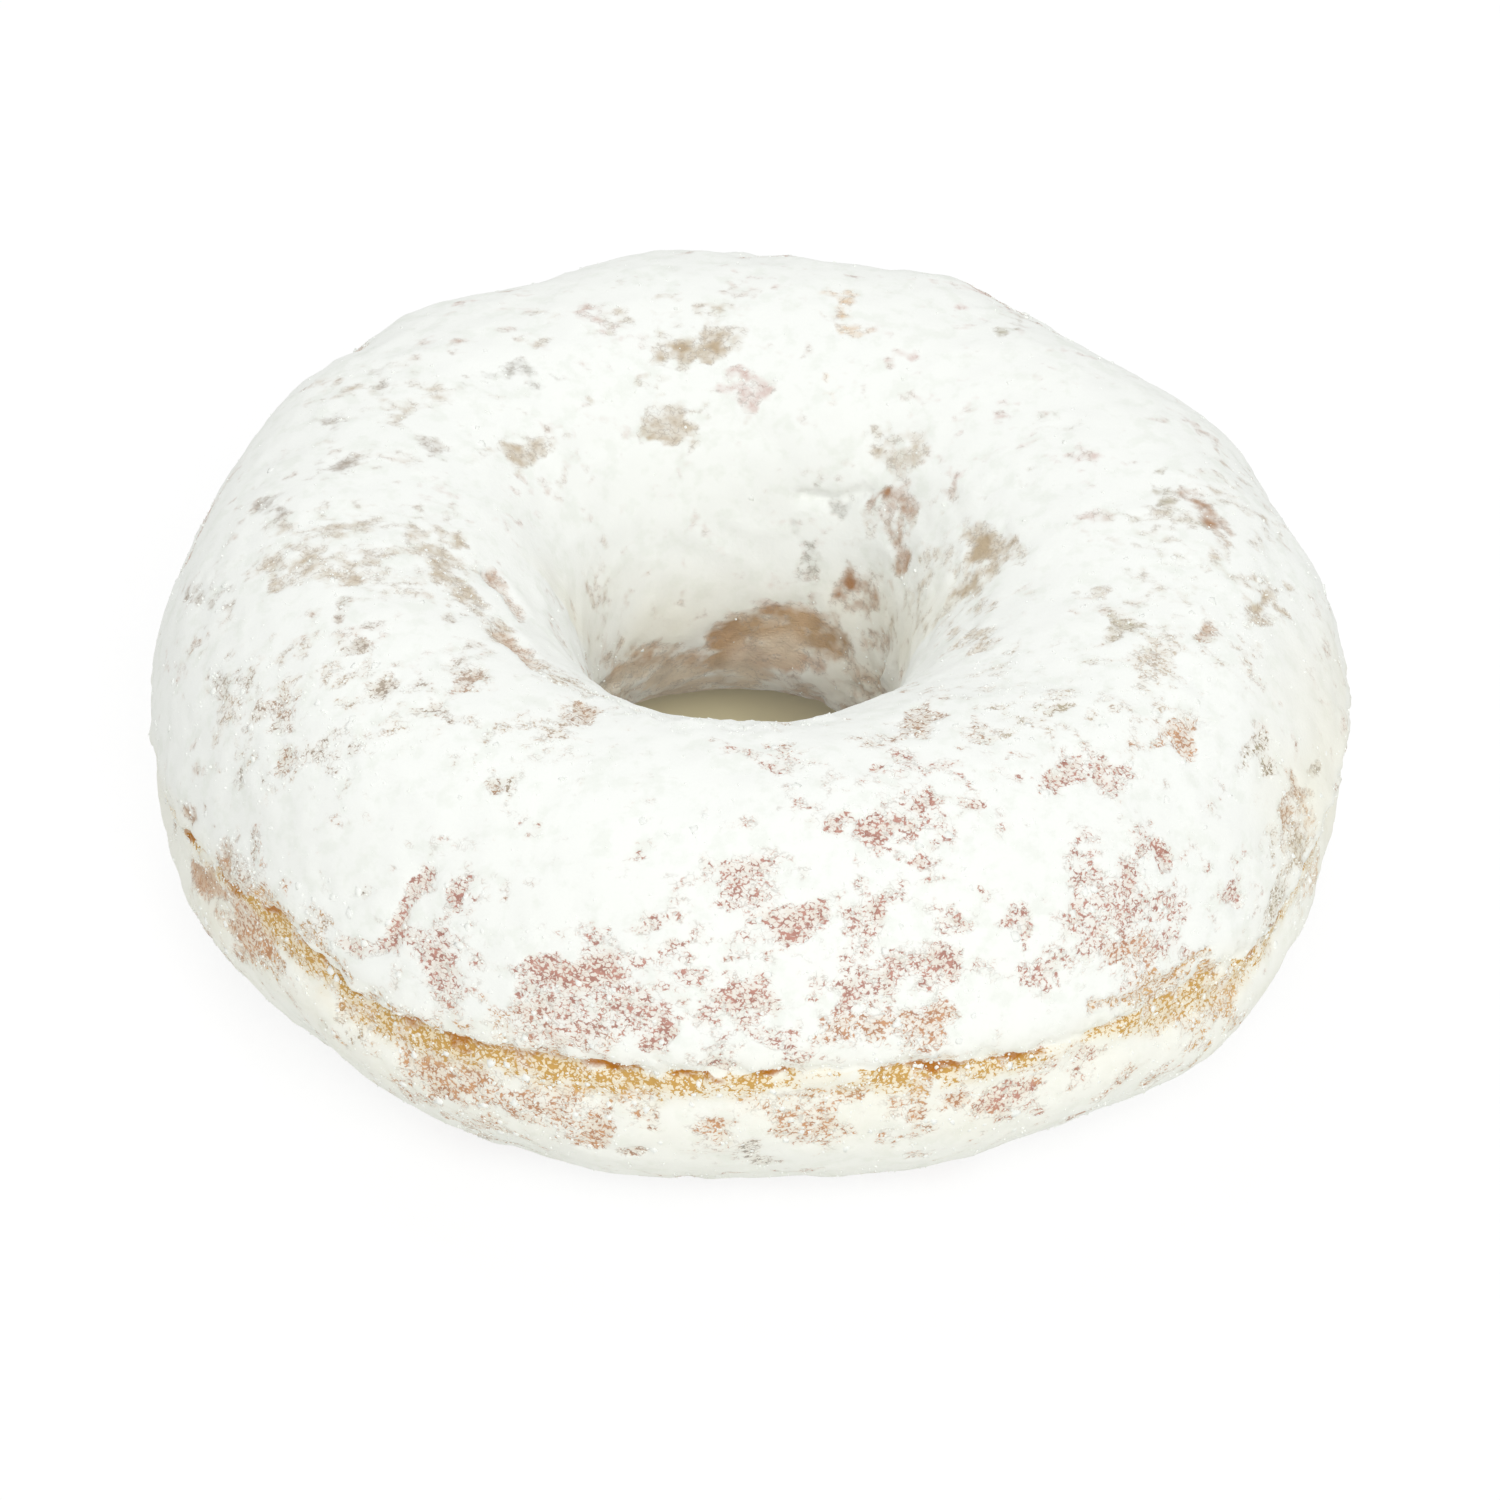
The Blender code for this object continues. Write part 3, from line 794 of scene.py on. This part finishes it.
# %% Sugar grain
grain_group, g_in, g_out = new_group(
    "sugar_grain", {"Vector": "NodeSocketVector", "Size": "NodeSocketFloat"},
    {"Height": "NodeSocketFloat", "Shade": "NodeSocketFloat"})
scaled = grain_group.nodes.new("ShaderNodeVectorMath")
scaled.operation = "SCALE"
grain_group.links.new(g_in.outputs["Vector"], scaled.inputs[0])
grain_group.links.new(g_in.outputs["Size"], scaled.inputs["Scale"])
fine_grain = noise_node(grain_group, scaled.outputs[0], 3.2, 3, 0.65)
soft_grain = noise_node(grain_group, scaled.outputs[0], 0.6, 3, 0.6)
height = math_node(grain_group, "ADD", math_node(grain_group, "MULTIPLY", fine_grain, 0.4),
                   math_node(grain_group, "MULTIPLY", soft_grain, 0.6))
grain_group.links.new(height, g_out.inputs["Height"])
grain_group.links.new(ramp_node(grain_group, soft_grain, 0.32, 0.52, 1.0, 0.0), g_out.inputs["Shade"])

# %% Red dots between the grains
RAGGED_EDGE = ((130, 0.6), (400, 1.3), (1000, 0.8))
BAR, BAR_DROP = 0.606, 0.15
DOT_SCALE, BEND_SCALE, CELL_SCALE, CRACK_SHADOW_SCALE = 2200, 2600, 2450, 620
BEND = 0.45 * MM
CELL_EDGE, CELL_WEIGHT = 0.13, 0.95
dots_group, d_in, d_out = new_group(
    "crust_dots", {"Vector": "NodeSocketVector", "Bareness": "NodeSocketFloat"},
    {"Dots": "NodeSocketFloat", "Thin": "NodeSocketFloat", "Crack_Shadows": "NodeSocketFloat",
     "Net": "NodeSocketFloat"})
stretch = dots_group.nodes.new("ShaderNodeVectorMath")
stretch.operation = "MULTIPLY"
stretch.inputs[1].default_value = (1.0, 1.2, 1.2)
dots_group.links.new(d_in.outputs["Vector"], stretch.inputs[0])
flat_place = stretch.outputs["Vector"]
rough_bare = d_in.outputs["Bareness"]
for scale, weight in RAGGED_EDGE:
    wave = math_node(dots_group, "SUBTRACT", noise_node(dots_group, flat_place, scale, 1), 0.5)
    rough_bare = math_node(dots_group, "ADD", rough_bare, math_node(dots_group, "MULTIPLY", wave, weight))
bar = math_node(dots_group, "SUBTRACT", BAR, math_node(dots_group, "MULTIPLY", rough_bare, BAR_DROP))
dot_noise = noise_node(dots_group, flat_place, DOT_SCALE, 2, 0.6)
bend = dots_group.nodes.new("ShaderNodeTexNoise")
bend.inputs["Scale"].default_value, bend.inputs["Detail"].default_value = BEND_SCALE, 1
dots_group.links.new(flat_place, bend.inputs["Vector"])
bent = dots_group.nodes.new("ShaderNodeVectorMath")
bent.operation = "MULTIPLY_ADD"
bent.inputs[1].default_value = (BEND, BEND, BEND)
dots_group.links.new(bend.outputs["Color"], bent.inputs[0])
dots_group.links.new(flat_place, bent.inputs[2])
cells = add_node(dots_group, "ShaderNodeTexVoronoi", Scale=CELL_SCALE)
cells.feature = "DISTANCE_TO_EDGE"
dots_group.links.new(bent.outputs["Vector"], cells.inputs["Vector"])
near_edge = math_node(dots_group, "SUBTRACT", CELL_EDGE, cells.outputs["Distance"])
between = math_node(dots_group, "ADD", dot_noise,
                    math_node(dots_group, "MULTIPLY", near_edge, CELL_WEIGHT))
dots_group.links.new(between, d_out.inputs["Net"])
over = math_node(dots_group, "SUBTRACT", between, bar)
graded = math_node(dots_group, "MULTIPLY", ramp_node(dots_group, over, -0.09, 0.27),
                   ramp_node(dots_group, rough_bare, 0.17, 0.52))
dots_group.links.new(graded, d_out.inputs["Dots"])
dots_group.links.new(ramp_node(dots_group, rough_bare, 0.12, 1.1), d_out.inputs["Thin"])
level = noise_node(dots_group, flat_place, CRACK_SHADOW_SCALE, 3, 0.65)
line = math_node(dots_group, "ABSOLUTE", math_node(dots_group, "SUBTRACT", level, 0.5))
near_patch = math_node(dots_group, "MULTIPLY", ramp_node(dots_group, rough_bare, 0.15, 0.45),
                       ramp_node(dots_group, rough_bare, 0.8, 1.2, 1.0, 0.0))
crack_shadows = math_node(dots_group, "MULTIPLY", ramp_node(dots_group, line, 0.004, 0.030, 1.0, 0.0), near_patch)
dots_group.links.new(crack_shadows, d_out.inputs["Crack_Shadows"])
print("groups of", len(grain_group.nodes), "and", len(dots_group.nodes), "nodes")


# %% [markdown]
# ## The material of the doughnut
#
# Four layers of colour lie on each other: sugar white with a faint shade between grains, warmed by
# fat near the proof line, warmer at the right edge and with painted shade low in the hole; the
# crust's tint as a thin veil with grey cracks, whose grey is painted shadow; the same tint as
# scattered dots with dark cores; and the crease and gold band of the proof line, drawn from the
# height below the lip, where the crease's brown is partly painted shade. Sugar is matt and crust is
# a little glossy from the fat, so the roughness follows the dots.

# %% Sugared crust
SUGAR = srgb(249, 251, 247)
SUGAR_SHADE = srgb(243, 246, 240)
VEIL = srgb(230, 210, 174)
MAUVE = srgb(218, 194, 178)
CRACK_SHADOW_GREY = srgb(160, 150, 140)
CREASE_BROWN_AND_SHADE = srgb(178, 108, 12)
BAND_GOLD = srgb(206, 163, 90)
BAND_CREAM = srgb(240, 224, 188)
WARM_AND_SHADED_WHITE = srgb(246, 243, 226)
DARK_CORE = (0.74, 0.66, 0.64, 1.0)


def with_proof_line(tree, place, dots, coat_colour):
    """The coat's colour with the gold band and the dark crease, partly painted shade, drawn over it."""
    below = attribute_node(tree, "below_lip").outputs["Fac"]
    openness = attribute_node(tree, "crease").outputs["Fac"]
    flick = noise_node(tree, place, 900, 3, 0.6)
    jittered = math_node(tree, "ADD", below, math_node(tree, "MULTIPLY",
                         math_node(tree, "SUBTRACT", flick, 0.5), 1.9))
    wandering = math_node(tree, "ADD", jittered, math_node(tree, "MULTIPLY",
                          math_node(tree, "SUBTRACT", noise_node(tree, place, 330, 2), 0.5), 3.0))
    gate = ramp_node(tree, math_node(tree, "ADD", openness, math_node(tree, "MULTIPLY",
                     math_node(tree, "SUBTRACT", noise_node(tree, place, 300, 3), 0.5), 1.6)), 0.45, 0.75)
    under = math_node(tree, "MULTIPLY", attribute_node(tree, "band").outputs["Fac"],
                      ramp_node(tree, jittered, 0.0, 0.3))
    under = math_node(tree, "MULTIPLY", under, ramp_node(tree, noise_node(tree, place, 420, 2), 0.30, 0.55))
    coat_colour = mix_node(tree, math_node(tree, "MULTIPLY", under, 0.8), coat_colour, BAND_CREAM)
    net_bar = math_node(tree, "SUBTRACT", 0.70, math_node(tree, "MULTIPLY", under, 0.27))
    net = ramp_node(tree, math_node(tree, "SUBTRACT", dots.outputs["Net"], net_bar), -0.03, 0.10)
    net = math_node(tree, "MULTIPLY", net, ramp_node(tree, under, 0.10, 0.35))
    coat_colour = mix_node(tree, net, coat_colour, BAND_GOLD)
    # The crease line's brown is partly the fried crust's colour and partly painted shade in the crease.
    line = math_node(tree, "MULTIPLY", ramp_node(tree, jittered, 0.0, 0.2),
                     ramp_node(tree, wandering, 0.10, 0.80, 1.0, 0.0))
    line = math_node(tree, "MULTIPLY", math_node(tree, "MULTIPLY", line, gate), 0.9)
    return mix_node(tree, line, coat_colour, CREASE_BROWN_AND_SHADE)


def sugared_crust():
    material = bpy.data.materials.new("sugared_crust")
    material.use_nodes = True
    tree = material.node_tree
    shader = tree.nodes["Principled BSDF"]
    place = tree.nodes.new("ShaderNodeTexCoord").outputs["Object"]

    grain = tree.nodes.new("ShaderNodeGroup")
    grain.node_tree = grain_group
    grain.inputs["Size"].default_value = 1000
    tree.links.new(place, grain.inputs["Vector"])
    white = mix_node(tree, grain.outputs["Shade"], SUGAR, SUGAR_SHADE)
    # The warm white is fat near the proof line, painted shade low in the hole, and warmer at the right edge.
    white = mix_node(tree, attribute_node(tree, "warmth_and_shade").outputs["Fac"], white, WARM_AND_SHADED_WHITE)

    dots = tree.nodes.new("ShaderNodeGroup")
    dots.node_tree = dots_group
    tree.links.new(place, dots.inputs["Vector"])
    tree.links.new(attribute_node(tree, "bare").outputs["Fac"], dots.inputs["Bareness"])
    crust_colour = attribute_node(tree, "crust_tint").outputs["Color"]
    stain = attribute_node(tree, "stain").outputs["Fac"]
    veil = math_node(tree, "MULTIPLY", dots.outputs["Thin"], math_node(tree, "ADD", stain, 0.30), True)
    veil_colour = mix_node(tree, math_node(tree, "ADD", stain, 0.30, True), VEIL, crust_colour)
    coat_colour = mix_node(tree, veil, white, veil_colour)
    # The grey of the thin cracks round the patches is painted shadow.
    coat_colour = mix_node(tree, math_node(tree, "MULTIPLY", dots.outputs["Crack_Shadows"], 0.35),
                           coat_colour, CRACK_SHADOW_GREY)
    dark = mix_node(tree, ramp_node(tree, noise_node(tree, place, 1300, 1), 0.40, 0.62),
                    (1.0, 1.0, 1.0, 1.0), DARK_CORE)
    deeper = tree.nodes.new("ShaderNodeVectorMath")
    deeper.operation = "MULTIPLY"
    tree.links.new(crust_colour, deeper.inputs[0])
    tree.links.new(dark, deeper.inputs[1])
    through = mix_node(tree, ramp_node(tree, dots.outputs["Dots"], 0.1, 0.8), MAUVE, deeper.outputs[0])
    spots = math_node(tree, "MULTIPLY", ramp_node(tree, dots.outputs["Dots"], 0.0, 0.8),
                      math_node(tree, "SUBTRACT", 0.90, stain))
    coat_colour = mix_node(tree, spots, coat_colour, through)

    coat_colour = with_proof_line(tree, place, dots, coat_colour)
    tree.links.new(coat_colour, shader.inputs["Base Color"])

    tree.links.new(ramp_node(tree, dots.outputs["Dots"], 0.0, 1.0, 0.95, 0.62), shader.inputs["Roughness"])
    shader.inputs["Specular IOR Level"].default_value = 0.25
    bump = add_node(tree, "ShaderNodeBump", Strength=0.5, Distance=0.12 * MM)
    lowered = math_node(tree, "SUBTRACT", grain.outputs["Height"],
                        math_node(tree, "MULTIPLY", dots.outputs["Dots"], 0.5))
    tree.links.new(lowered, bump.inputs["Height"])
    tree.links.new(bump.outputs["Normal"], shader.inputs["Normal"])
    return material


doughnut.data.materials.append(sugared_crust())
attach(doughnut, "root")
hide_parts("doughnut")
print("sugared crust:", len(doughnut.data.materials[0].node_tree.nodes), "nodes")

# %% [markdown]
# ## Loose grains and crumbs
#
# Powdered sugar is too fine to see grain by grain, but damp sugar balls into crumbs a few tenths
# of a millimetre across, which sit on the coat and along the edges of bare patches. Modelling
# each by hand is out of the question. One small rough ball is made with bmesh, and arrays place
# thousands of turned and scaled copies of it in one joined mesh, each sunk a little in the coat.

# %% Where crumbs lie
rng = np.random.default_rng(29)
skin.calc_loop_triangles()
corners = np.empty(len(skin.loop_triangles) * 3, int)
skin.loop_triangles.foreach_get("vertices", corners)
corners = corners.reshape(-1, 3)
normals = read_normals(skin)
patch_edge = np.clip(1 - np.abs(bare - 0.45) / 0.4, 0, 1)
along_lip = np.exp(-((below_lip - 0.6) / 1.6) ** 2) * outer
EVERYWHERE, BY_PATCHES, BY_THE_LIP, ON_THE_RIM = 0.12, 1.4, 1.0, 1.5
crumb_wish = EVERYWHERE + BY_PATCHES * patch_edge + BY_THE_LIP * along_lip + ON_THE_RIM * rim
crumb_wish *= soft_step(0.6 * MM, 2 * MM, points[:, 2])
crumb_wish *= 0.12 + 0.88 * soft_step(17 * MM, 24 * MM, radius)
crumb_wish *= 1 - 0.6 * in_view * (1 - soft_step(480, 640, pixel_y))
triangle = points[corners]
sides = triangle[:, 1:] - triangle[:, :1]
areas = np.linalg.norm(np.cross(sides[:, 0], sides[:, 1]), axis=1) / 2
chance = areas * crumb_wish[corners].mean(axis=1)
chance /= chance.sum()


def places_on_skin(count):
    """Random places on the skin, with the normal at each."""
    chosen = corners[rng.choice(len(corners), count, p=chance)]
    share = rng.random((count, 2))
    folded = share.sum(axis=1) > 1
    share[folded] = 1 - share[folded]
    weights = np.column_stack([1 - share.sum(axis=1), share])
    spot = (points[chosen] * weights[:, :, None]).sum(axis=1)
    facing = (normals[chosen] * weights[:, :, None]).sum(axis=1)
    return spot, facing / np.linalg.norm(facing, axis=1)[:, None]


def random_turns(count):
    """Turn matrices that point every way alike."""
    q = rng.normal(size=(count, 4))
    q /= np.linalg.norm(q, axis=1)[:, None]
    w, x, y, z = q.T
    return np.array([[1 - 2 * (y * y + z * z), 2 * (x * y - w * z), 2 * (x * z + w * y)],
                     [2 * (x * y + w * z), 1 - 2 * (x * x + z * z), 2 * (y * z - w * x)],
                     [2 * (x * z - w * y), 2 * (y * z + w * x), 1 - 2 * (x * x + y * y)]]).transpose(2, 0, 1)


# %% Crumb meshes
def crumb_ball(kind):
    """The points and faces of a unit ball: 20 faces for a grain, 24 squares for a clump."""
    form = bmesh.new()
    if kind == "grain":
        bmesh.ops.create_icosphere(form, subdivisions=1, radius=1)
    else:
        bmesh.ops.create_cube(form, size=1.2)
        bmesh.ops.subdivide_edges(form, edges=form.edges, cuts=1, use_grid_fill=True, smooth=1.0)
    form.verts.ensure_lookup_table()
    ball = np.array([v.co for v in form.verts]), np.array([[v.index for v in f.verts] for f in form.faces])
    form.free()
    return ball


def joined_crumbs(name, kind, count, smallest, largest, sunk, flat, rough):
    ball, faces = crumb_ball(kind)
    spot, facing = places_on_skin(count)
    size = smallest * (largest / smallest) ** (rng.random(count) ** 1.8)
    rough_balls = ball[None] * (1 + rough * rng.normal(size=(count, len(ball), 1)).clip(-1.5, 1.5))
    turns = random_turns(count)
    stretched = rough_balls * rng.uniform(0.75, 1.2, (count, 1, 3))
    turned = np.einsum("nij,nkj->nki", turns, stretched)
    height = np.einsum("nki,ni->nk", turned, facing)
    turned -= (1 - flat) * height[:, :, None] * facing[:, None]
    centres = spot + facing * (size * (1 - 2 * sunk))[:, None] / 2
    placed = centres[:, None] + turned * size[:, None, None] / 2
    kept = placed[:, :, 2].min(axis=1) > 0.05 * MM
    placed = placed[kept]
    every_face = faces[None] + (np.arange(len(placed)) * len(ball))[:, None, None]
    mesh = bpy.data.meshes.new(name)
    mesh.from_pydata(placed.reshape(-1, 3), [], every_face.reshape(-1, faces.shape[1]).tolist())
    mesh.update()
    piece = new_piece(name, mesh)
    print(name, len(placed), "balls,", len(mesh.polygons), "faces")
    return piece


GRAINS, CLUMPS = (9500, 0.09 * MM, 0.24 * MM), (1000, 0.22 * MM, 0.60 * MM)
grains = joined_crumbs("sugar_grains", "grain", *GRAINS, sunk=0.3, flat=0.9, rough=0.16)
clumps = joined_crumbs("sugar_clumps", "clump", *CLUMPS, sunk=0.62, flat=0.6, rough=0.10)
for polygon in clumps.data.polygons:
    polygon.use_smooth = True


# %% [markdown]
# ## The material of the crumbs
#
# The same grain group at a finer size, on the same white. Crumbs get no dots: they are sugar all
# through.

# %% Crumb sugar
def crumb_sugar():
    material = bpy.data.materials.new("crumb_sugar")
    material.use_nodes = True
    tree = material.node_tree
    shader = tree.nodes["Principled BSDF"]
    grain = tree.nodes.new("ShaderNodeGroup")
    grain.node_tree = grain_group
    grain.inputs["Size"].default_value = 2400
    tree.links.new(tree.nodes.new("ShaderNodeTexCoord").outputs["Object"], grain.inputs["Vector"])
    white = mix_node(tree, grain.outputs["Shade"], SUGAR, SUGAR_SHADE)
    tree.links.new(white, shader.inputs["Base Color"])
    shader.inputs["Roughness"].default_value = 0.95
    shader.inputs["Specular IOR Level"].default_value = 0.25
    bump = add_node(tree, "ShaderNodeBump", Strength=0.4, Distance=0.05 * MM)
    tree.links.new(grain.outputs["Height"], bump.inputs["Height"])
    tree.links.new(bump.outputs["Normal"], shader.inputs["Normal"])
    return material


sugar = crumb_sugar()
for piece in (grains, clumps):
    piece.data.materials.append(sugar)
    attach(piece, "root")
